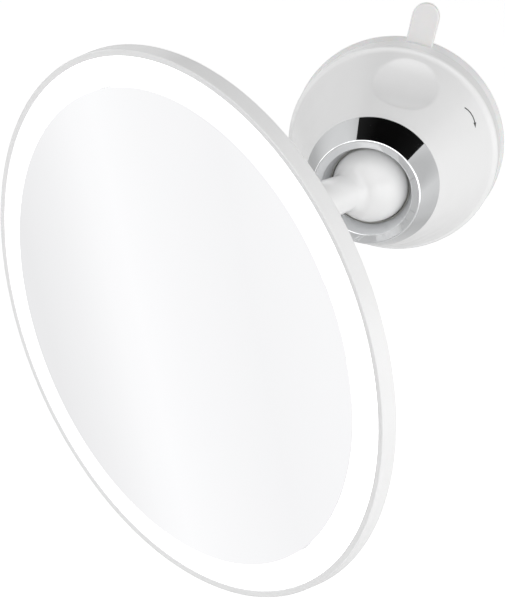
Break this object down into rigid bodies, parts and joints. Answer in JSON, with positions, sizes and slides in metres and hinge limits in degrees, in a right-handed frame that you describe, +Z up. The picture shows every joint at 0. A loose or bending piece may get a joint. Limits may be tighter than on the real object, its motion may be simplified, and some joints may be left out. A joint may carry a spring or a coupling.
{
  "type": "lighted makeup mirror",
  "caption": "Round battery-lit makeup mirror on a short neck and ball joint, held to a wall by a twist-lock suction mount with a chrome collar.",
  "frame": {"origin": "centre of the suction pad's wall face", "axes": "+Y points into the wall, the mirror stands out of the wall towards -Y, +Z is up and +X is to the right of a viewer who faces the wall"},
  "size_m": [0.1599, 0.1664, 0.1747],
  "materials": {
    "white_gloss": "smooth glossy white",
    "white_matte": "plain moulded white, inside",
    "nylon": "natural nylon",
    "chrome": "bright mirror-like plating",
    "steel": "plain zinc-coloured steel",
    "silicone": "soft translucent white",
    "mirror": "silvered flat glass",
    "foam": "dark adhesive foam",
    "lit_diffuser": "frosted white, lit from behind",
    "lamp_board": "white lacquered board with lamps",
    "cell_jacket": "plain grey jacket, unmarked",
    "contact_metal": "plain stamped metal",
    "red_lead": "red sleeving",
    "black": "black"
  },
  "bodies": {
    "suction_mount": {"suction_pad": "silicone", "pressure_plate": "white_matte"},
    "lock_post": {"lock_post": "nylon", "lock_pin": "steel"},
    "lock_dome": {"lock_dome": "white_gloss", "cam_sleeve": "nylon", "sleeve_screw_1": "steel", "sleeve_screw_2": "steel", "sleeve_screw_3": "steel", "ball_bush": "nylon", "wave_washer": "steel", "chrome_collar": "chrome"},
    "ball_swivel": {"ball_cup": "nylon"},
    "ball": {"ball": "white_gloss", "ball_screw": "steel"},
    "head": {"stem": "white_gloss", "front_bezel": "white_gloss", "mirror_glass": "mirror", "mirror_tape": "foam", "light_diffuser": "lit_diffuser", "mirror_carrier": "white_matte", "led_ring": "lamp_board", "back_cover": "white_gloss", "battery_tray": "white_matte", "switch_body": "black", "lead_plus": "red_lead", "lead_minus": "black", "lead_switched": "black", "stem_screw_1": "steel", "stem_screw_2": "steel", "stem_screw_3": "steel", "case_screw_1": "steel", "case_screw_2": "steel", "case_screw_3": "steel", "case_screw_4": "steel", "cell_1": "cell_jacket", "cell_2": "cell_jacket", "cell_3": "cell_jacket", "cell_spring_1": "steel", "cell_spring_2": "steel", "cell_spring_3": "steel", "contact_end_plus": "contact_metal", "contact_end_minus": "contact_metal", "contact_bridge_1": "contact_metal", "contact_bridge_2": "contact_metal"},
    "battery_door": {"battery_door": "white_gloss"},
    "power_switch": {"switch_knob": "white_gloss"}
  },
  "joints": [
    {"name": "lock_twist", "type": "hinge", "parent": "suction_mount", "child": "lock_dome", "pos_m": [0, 0, 0], "axis": [0, 1, 0], "range_deg": [0, 90]},
    {"name": "post_lift", "type": "slide", "parent": "suction_mount", "child": "lock_post", "axis": [0, -1, 0], "range_m": [0, 0.0025]},
    {"name": "ball_swivel", "type": "hinge", "parent": "lock_dome", "child": "ball_swivel", "pos_m": [0, -0.0445, 0], "axis": [0, -1, 0], "continuous": true},
    {"name": "ball_tilt", "type": "hinge", "parent": "ball_swivel", "child": "ball", "pos_m": [0, -0.0445, 0], "axis": [0.1153, 0, -0.9933], "range_deg": [-63.5, 8]},
    {"name": "head_spin", "type": "hinge", "parent": "ball", "child": "head", "pos_m": [0, -0.0445, 0], "axis": [-0.4657, -0.8833, -0.0541], "continuous": true},
    {"name": "battery_door_hinge", "type": "hinge", "parent": "head", "child": "battery_door", "pos_m": [-0.03251, -0.10616, -0.06281], "axis": [-0.8846, 0.4664, 0], "range_deg": [0, 75]},
    {"name": "power_slide", "type": "slide", "parent": "head", "child": "power_switch", "axis": [0.8846, -0.4664, 0], "range_m": [-0.0036, 0]}
  ],
  "couplings": [
    {"joint": "post_lift", "follows": "lock_twist", "m_per_rad": 0.0015915}
  ]
}
